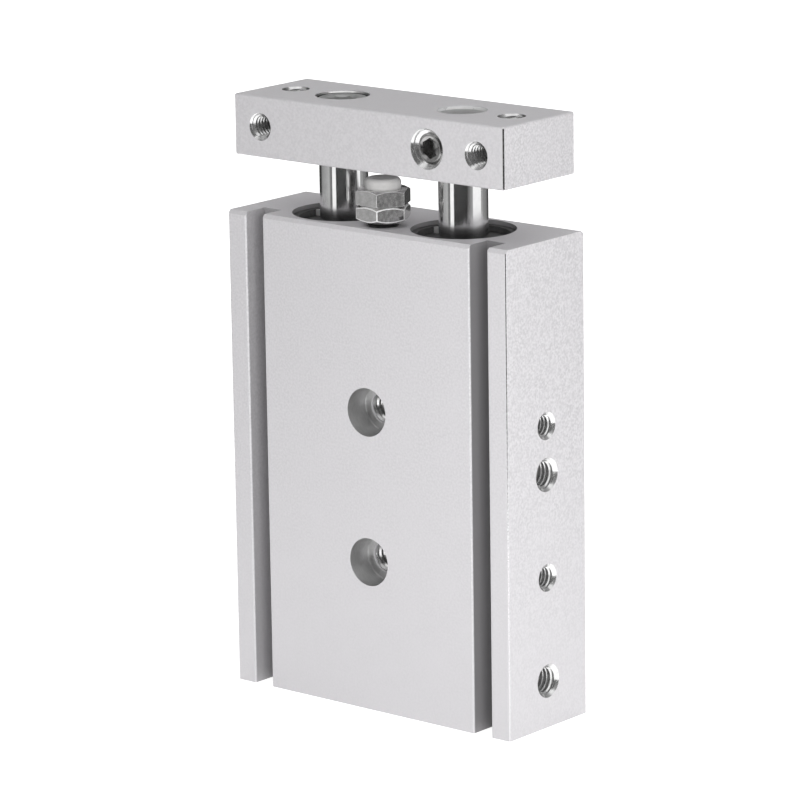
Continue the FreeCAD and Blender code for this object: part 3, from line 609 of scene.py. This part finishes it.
def plate_threads():
    for name, depth in PLATE_THREAD_DEPTHS.items():
        outward = MOUNTS[name]["axis"]
        radius = MOUNTS[name]["dims"]["hole_r_mm"] * MM
        for side, mouth in zip(("left", "right"), pattern_places(name)):
            internal_thread(f"{name}_{side}", mouth, outward, radius, M4_PITCH, depth, "moving_unit")


def side_threads():
    for name in ("right_side_threads", "left_side_threads"):
        outward = MOUNTS[name]["axis"]
        radius = MOUNTS[name]["dims"]["hole_r_mm"] * MM
        for level, mouth in zip(("lower", "upper"), pattern_places(name)):
            internal_thread(f"{name}_{level}", mouth, outward, radius, M4_PITCH,
                            SIDE_THREAD_DEPTH, "housing")


def port_threads():
    """Open ports on the right side, and the short thread above each plug on the left."""
    plug_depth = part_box("port_plugs")[0].x - HOUSING_LOW.x
    for level in ("lower", "upper"):
        mount = MOUNTS[f"{level}_air_port"]
        height = mount["pos_m"][2]
        radius = mount["dims"]["r_mm"] * MM
        mouth = Vector((HOUSING_HIGH.x, 0, height))
        internal_thread(f"{level}_port_thread", mouth, (1, 0, 0), radius, M5_PITCH,
                        PORT_THREAD_DEPTH, "housing")
        opposite = Vector((HOUSING_LOW.x, 0, height))
        internal_thread(f"{level}_plugged_mouth", opposite, (-1, 0, 0), radius, M5_PITCH,
                        plug_depth, "housing")


def counterbores():
    """Smooth lining of each counterbore, with the countersunk M5 thread in its floor."""
    for face in ("front", "back"):
        name = f"body_{face}_holes"
        outward = Vector(MOUNTS[name]["axis"])
        radius = MOUNTS[name]["dims"]["hole_r_mm"] * MM
        for level, floor in zip(("lower", "upper"), pattern_places(name)):
            mouth = floor + outward * COUNTERBORE_DEPTH
            wall = COUNTERBORE_RADIUS - SKIN
            deep = COUNTERBORE_DEPTH - SKIN
            corner = 0.15 * MM
            profile = [(wall, 0.04 * MM), (wall, deep - corner), (wall - corner, deep),
                       (radius + COUNTERSINK, deep)]
            turned_lining(f"{face}_counterbore_{level}", mouth, outward, profile, SATIN_CUT,
                          "housing")
            internal_thread(f"{face}_body_thread_{level}", mouth, outward, radius, M5_PITCH,
                            COUNTERBORE_DEPTH + BODY_THREAD_DEPTH, "housing", start=deep)


def clamp_screw_mouth():
    """M6 thread of the plate, down to the set screw and a little past its face."""
    middle = (CLAMP_LOW + CLAMP_HIGH) / 2
    mouth = Vector((middle.x, PLATE_LOW.y, middle.z))
    radius = 3.0 * MM
    depth = CLAMP_LOW.y - PLATE_LOW.y + 0.6 * MM
    internal_thread("clamp_screw_mouth", mouth, (0, -1, 0), radius, M6_PITCH, depth,
                    "moving_unit")


def hexagon_radius(flats, angle, corner_angle):
    """Distance from a hexagon's axis to its wall in one direction."""
    off_flat = (angle - corner_angle) % (math.pi / 3) - math.pi / 6
    return flats / 2 / math.cos(off_flat)


def socket_screw(name, face, outward, outline, flats, socket_depth, body, slot, node,
                 corner_angle, ridges=0.0, material=None):
    """Screw with a hexagon socket. The outline runs in from its hidden end, as (radius, depth)
    corners below the outer face; ridges is the knurl's depth on the outline's first two."""
    first, second = hole_axes(outward)
    steps = HEXAGON_STEPS
    mouth_radius = outline[-1][0]
    mouth_slope = 0.6
    drill_point = 0.15 * flats
    rings = []
    for index, (radius, deep) in enumerate(outline):
        knurl = ridges if index < 2 else 0.0
        rings.append([(radius - knurl * (step % 2), deep) for step in range(steps)])
    angles = [2 * math.pi * step / steps for step in range(steps)]
    walls = [hexagon_radius(flats, angle, corner_angle) for angle in angles]
    rings.append([(wall, (mouth_radius - wall) * mouth_slope) for wall in walls])
    rings.append([(wall, socket_depth) for wall in walls])
    rings.append([(wall * 0.05, socket_depth + drill_point) for wall in walls])
    vertices = []
    for ring in rings:
        for angle, (radius, deep) in zip(angles, ring):
            vertices.append(surface_point(face, outward, first, second, radius, angle, deep))
    faces = capped_bands(len(rings), steps)
    screw = add_piece(name, vertices, faces, material or FINISHES[slot], body,
                      smooth_angle=28.0)
    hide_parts(node)
    return screw


def hexagon_block(name, axis, bottom, top, lower_circle, upper_circle, neck):
    """Hexagon that is turned off at 30 degrees down to a circle at both ends. Where the neck,
    the height of a round bearing face, isn't 0, the lower end stays square above it."""
    steps = HEXAGON_STEPS
    drop = math.tan(math.radians(30))
    corner_angle = math.radians(HEXAGON_CORNER)
    angles = [corner_angle + 2 * math.pi * step / steps for step in range(steps)]
    walls = [hexagon_radius(HEXAGON_FLATS, angle, corner_angle) for angle in angles]
    rings = [[(lower_circle, bottom)] * steps]
    if neck:
        rings.append([(lower_circle, bottom + neck)] * steps)
        rings.append([(wall, bottom + neck) for wall in walls])
    else:
        rings.append([(wall, bottom + (wall - lower_circle) * drop) for wall in walls])
    rings.append([(wall, top - (wall - upper_circle) * drop) for wall in walls])
    rings.append([(upper_circle, top)] * steps)
    vertices = []
    for ring in rings:
        for angle, (radius, level) in zip(angles, ring):
            vertices.append((axis.x + radius * math.cos(angle), axis.y + radius * math.sin(angle),
                             level))
    faces = capped_bands(len(rings), steps)
    return add_piece(name, vertices, faces, FINISHES["plated_steel"], "stop_screw",
                     smooth_angle=27.0, edge_width=HEXAGON_EDGE)


def stop_screw_hexagons():
    """The bolt's head and the lock nut under it."""
    axis = (HEAD_LOW + HEAD_HIGH) / 2
    inner = HEXAGON_FLATS / 2
    head = hexagon_block("stop_bolt_head", axis, NUT_HIGH.z, HEAD_HIGH.z, inner - 0.7 * MM,
                         inner - 0.05 * MM, 0.14 * MM)
    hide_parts("stop_bolt")
    nut = hexagon_block("lock_nut_block", axis, NUT_LOW.z, NUT_HIGH.z, inner - 0.45 * MM,
                        inner - 0.22 * MM, 0.0)
    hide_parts("lock_nut")


def clamp_screw():
    """M6 set screw in the plate's front, against the right rod."""
    middle = (CLAMP_LOW + CLAMP_HIGH) / 2
    face = Vector((middle.x, CLAMP_LOW.y, middle.z))
    length = CLAMP_HIGH.y - CLAMP_LOW.y
    radius = (CLAMP_HIGH.x - CLAMP_LOW.x) / 2 - 0.3 * MM
    bevel = 0.5 * MM
    flats = 3.0 * MM
    mouth = 1.9 * MM
    outline = [(radius - bevel, length), (radius, length - bevel), (radius, bevel),
               (radius - 0.42 * MM, 0.06 * MM), (radius - bevel, 0.0), (mouth + 0.08 * MM, 0.0),
               (mouth, 0.03 * MM)]
    socket_screw("clamp_screw", face, (0, -1, 0), outline, flats, 2.4 * MM, "moving_unit",
                 "screw_steel", "rod_clamp_screw", math.radians(30))


def cap_screw():
    """M5 cap screw over the left rod: a knurled head with its socket, and the shank."""
    low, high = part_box("plate_cap_screw")
    face = Vector(((low.x + high.x) / 2, 0, high.z))
    length = high.z - low.z
    head = (high.x - low.x) / 2
    seat = 5.0 * MM
    bevel = 0.4 * MM
    flats = 4.0 * MM
    mouth = 2.52 * MM
    outline = [(head, seat), (head, 0.5 * MM), (head - 0.1 * MM, 0.25 * MM), (head - bevel, 0.0),
               (mouth + 0.1 * MM, 0.0), (mouth, 0.04 * MM)]
    socket_screw("cap_screw_head", face, (0, 0, 1), outline, flats, 2.5 * MM, "moving_unit",
                 "screw_steel", "plate_cap_screw", math.radians(12), ridges=0.09 * MM,
                 material=GROUND_STEEL)
    tip = 0.3 * MM
    profile = [(M5_SHANK_RADIUS, seat), (M5_SHANK_RADIUS, length - tip),
               (M5_SHANK_RADIUS - tip, length)]
    turned_lining("cap_screw_shank", face, (0, 0, 1), profile, FINISHES["screw_steel"],
                  "moving_unit")


def port_plugs():
    """M5 socket plugs that close the two ports on the left side."""
    low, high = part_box("port_plugs")
    length = high.x - low.x
    radius = 2.4 * MM
    flats = 2.5 * MM
    mouth = 1.56 * MM
    outline = [(radius - 0.5 * MM, length), (radius, length - 0.4 * MM), (radius, 0.35 * MM),
               (radius - 0.32 * MM, 0.0), (mouth + 0.06 * MM, 0.0), (mouth, 0.03 * MM)]
    for level in ("lower", "upper"):
        face = Vector((low.x, 0, MOUNTS[f"{level}_air_port"]["pos_m"][2]))
        socket_screw(f"{level}_port_plug", face, (-1, 0, 0), outline, flats, 2.0 * MM,
                     "housing", "plated_steel", "port_plugs", math.radians(10))


def cap_screw_hole():
    """Bright chamfer of the cap screw's hole in the plate's top, and its wall dark with painted
    shade.
    """
    low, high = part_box("plate_cap_screw")
    mouth = Vector(((low.x + high.x) / 2, 0, PLATE_HIGH.z))
    rim = 4.62 * MM
    wall = 4.28 * MM
    chamfer = 0.36 * MM
    floor = 5.38 * MM
    turned_lining("cap_screw_hole_chamfer", mouth, (0, 0, 1), [(rim, -PROUD / 2), (wall, chamfer)],
                  BRIGHT_CUT, "moving_unit")
    profile = [(wall, chamfer), (wall, floor), (2.8 * MM, floor)]
    turned_lining("cap_screw_hole_wall", mouth, (0, 0, 1), profile, PAINTED_SHADE_STEEL,
                  "moving_unit")


def right_rod_end():
    """Cut wall of the right rod's hole in the plate's top, and the rod's ground end in it."""
    mouth = Vector((BORE_CENTRE, 0, PLATE_HIGH.z))
    recess = PLATE_HIGH.z - ROD_HIGH.z
    wall = 4.02 * MM - SKIN
    edge = 0.1 * MM
    profile = [(wall + edge, -PROUD / 2), (wall, edge), (wall, recess + 0.3 * MM)]
    turned_lining("rod_hole_wall", mouth, (0, 0, 1), profile, LIT_CUT, "moving_unit")
    rod_face = Vector((BORE_CENTRE, 0, ROD_HIGH.z))
    profile = [(3.98 * MM, 0.3 * MM), (3.72 * MM, -PROUD), (0.01 * MM, -PROUD)]
    turned_lining("rod_end_face", rod_face, (0, 0, 1), profile, GROUND_STEEL, "moving_unit")


def stop_screw_thread():
    """External thread of the stop screw where it shows between the housing and the nut, dark with
    painted shade.
    """
    axis = (HEAD_LOW + HEAD_HIGH) / 2
    crest = M5_SHANK_RADIUS + 0.04 * MM
    ridge = 0.42 * MM
    bottom = HEAD_LOW.z
    top = NUT_LOW.z
    vertices = []
    for angle, run, height in thread_points(M5_PITCH, range(int((top - bottom) / M5_PITCH) + 1)):
        wall = crest - ridge * (1 - height)
        level = min(max(bottom + run, bottom), top)
        vertices.append((axis.x + wall * math.cos(-angle), axis.y + wall * math.sin(-angle), level))
    faces = helical_bands(len(vertices), THREAD_STEPS)
    add_piece("stop_screw_thread", vertices, faces, PAINTED_SHADE_STEEL, "stop_screw")


# ---------------------------------------------------------------- studio


def make_camera():
    yaw = Matrix.Rotation(math.radians(CAMERA_HEADING), 3, "Z")
    tilt = Matrix.Rotation(math.radians(90 - CAMERA_ELEVATION), 3, "X")
    roll = Matrix.Rotation(math.radians(CAMERA_ROLL), 3, "Z")
    turn = yaw @ tilt @ roll
    camera = bpy.data.objects.new("camera", bpy.data.cameras.new("camera"))
    camera.data.lens = CAMERA_LENS
    camera.data.sensor_width = 36.0
    camera.data.clip_start = 0.01
    camera.data.clip_end = 50.0
    place = Matrix.Translation(CAMERA_TARGET + turn @ Vector((0, 0, CAMERA_DISTANCE)))
    camera.matrix_world = place @ turn.to_4x4()
    bpy.context.scene.collection.objects.link(camera)
    bpy.context.scene.camera = camera


def seen_directly(tree):
    """1 for camera, glossy and transmission rays, 0 for the rest."""
    path = tree.nodes.new("ShaderNodeLightPath")
    total = path.outputs["Is Camera Ray"]
    for name in ("Is Glossy Ray", "Is Transmission Ray"):
        add = tree.nodes.new("ShaderNodeMath")
        add.operation = "MAXIMUM"
        tree.links.new(total, add.inputs[0])
        tree.links.new(path.outputs[name], add.inputs[1])
        total = add.outputs[0]
    return total


def make_world():
    """White backdrop where it is seen, and soft even light for everything else."""
    world = bpy.data.worlds.new("studio")
    bpy.context.scene.world = world
    world.use_nodes = True
    tree = world.node_tree
    tree.nodes.clear()
    out = tree.nodes.new("ShaderNodeOutputWorld")
    mix = tree.nodes.new("ShaderNodeMixShader")
    tree.links.new(seen_directly(tree), mix.inputs["Fac"])
    for place, strength in ((1, SOFT_LIGHT), (2, 1.0)):
        light = tree.nodes.new("ShaderNodeBackground")
        light.inputs["Color"].default_value = grey(1.0)
        light.inputs["Strength"].default_value = strength
        tree.links.new(light.outputs[0], mix.inputs[place])
    tree.links.new(mix.outputs[0], out.inputs["Surface"])


def stage_object(name, vertices, faces, material):
    """Object of the studio, which isn't part of the cylinder."""
    mesh = bpy.data.meshes.new(name)
    mesh.from_pydata(vertices, [], faces)
    mesh.materials.append(material)
    placed = bpy.data.objects.new(name, mesh)
    bpy.context.scene.collection.objects.link(placed)
    return placed


def white_glow(s, strength):
    glow = s.node("ShaderNodeEmission")
    return s.feed(glow, {"Color": grey(1.0), "Strength": strength}).outputs[0]


def make_floor():
    s = Shader("studio_floor")
    mottle = s.noise(3.0, 2.0)
    pale = s.node("ShaderNodeBsdfDiffuse")
    s.feed(pale, {"Color": s.mix(s.spread(mottle, 0.0, 1.0), *greys(0.62, 0.64))})
    glow = white_glow(s, s.product(seen_directly(s.tree), FLOOR_GLOW))
    both = s.feed(s.node("ShaderNodeAddShader"), {0: pale.outputs[0], 1: glow})
    s.link(both.outputs[0], s.output.inputs["Surface"])
    far = FLOOR_HALF_WIDTH
    corners = [(-far, -far, 0), (far, -far, 0), (far, far, 0), (-far, far, 0)]
    floor = stage_object("studio_floor", corners, [(0, 1, 2, 3)], s.material)
    floor.location.z = -0.02 * MM


def card_material(name, start, end, first, last):
    """Even or graded brightness from one upright edge of a card to the other."""
    s = Shader(name)
    x, y = s.position()[:2]
    bearing = s.math("ARCTAN2", y, x)
    level = s.spread(bearing, first, last, math.radians(start), math.radians(end))
    s.link(white_glow(s, level), s.output.inputs["Surface"])
    return s.material


def make_reflector_cards():
    """Curved cards round the object that only polished metal reflects."""
    for number, (start, end, first, last) in enumerate(TENT_CARDS):
        vertices = []
        for step in range(CARD_STEPS + 1):
            angle = math.radians(start + (end - start) * step / CARD_STEPS)
            x = TENT_RADIUS * math.cos(angle)
            y = TENT_RADIUS * math.sin(angle)
            vertices += [(x, y, TENT_FOOT), (x, y, TENT_HEIGHT)]
        faces = [(2 * k, 2 * k + 2, 2 * k + 3, 2 * k + 1) for k in range(CARD_STEPS)]
        name = f"reflector_card_{number}"
        card = stage_object(name, vertices, faces, card_material(name, start, end, first, last))
        card.rotation_euler.z = math.radians(CAMERA_HEADING - 90)
        card.visible_camera = False
        card.visible_diffuse = False
        card.visible_transmission = False
        card.visible_volume_scatter = False
        card.visible_shadow = False


def add_softbox(name, heading, elevation, distance, size, power):
    """Square area light that looks at the object from a heading measured like the camera's."""
    light = bpy.data.lights.new(name, "AREA")
    light.shape = "SQUARE"
    light.size = size
    light.energy = power
    lamp = bpy.data.objects.new(name, light)
    flat = math.radians(heading)
    rise = math.radians(elevation)
    level = math.cos(rise)
    back = Vector((math.sin(flat) * level, -math.cos(flat) * level, math.sin(rise)))
    lamp.location = CAMERA_TARGET + back * distance
    lamp.rotation_mode = "QUATERNION"
    lamp.rotation_quaternion = back.to_track_quat("Z", "Y")
    lamp.visible_glossy = False
    lamp.visible_camera = False
    bpy.context.scene.collection.objects.link(lamp)


def make_lights():
    for name, values in SOFTBOXES.items():
        add_softbox(name, *values)


# ---------------------------------------------------------------- build

finish_cad_nodes()
plate_threads()
side_threads()
port_threads()
counterbores()
clamp_screw_mouth()
clamp_screw()
cap_screw()
port_plugs()
cap_screw_hole()
right_rod_end()
stop_screw_hexagons()
stop_screw_thread()
make_camera()
make_world()
make_floor()
make_reflector_cards()
make_lights()
bpy.context.scene.view_settings.view_transform = "Standard"
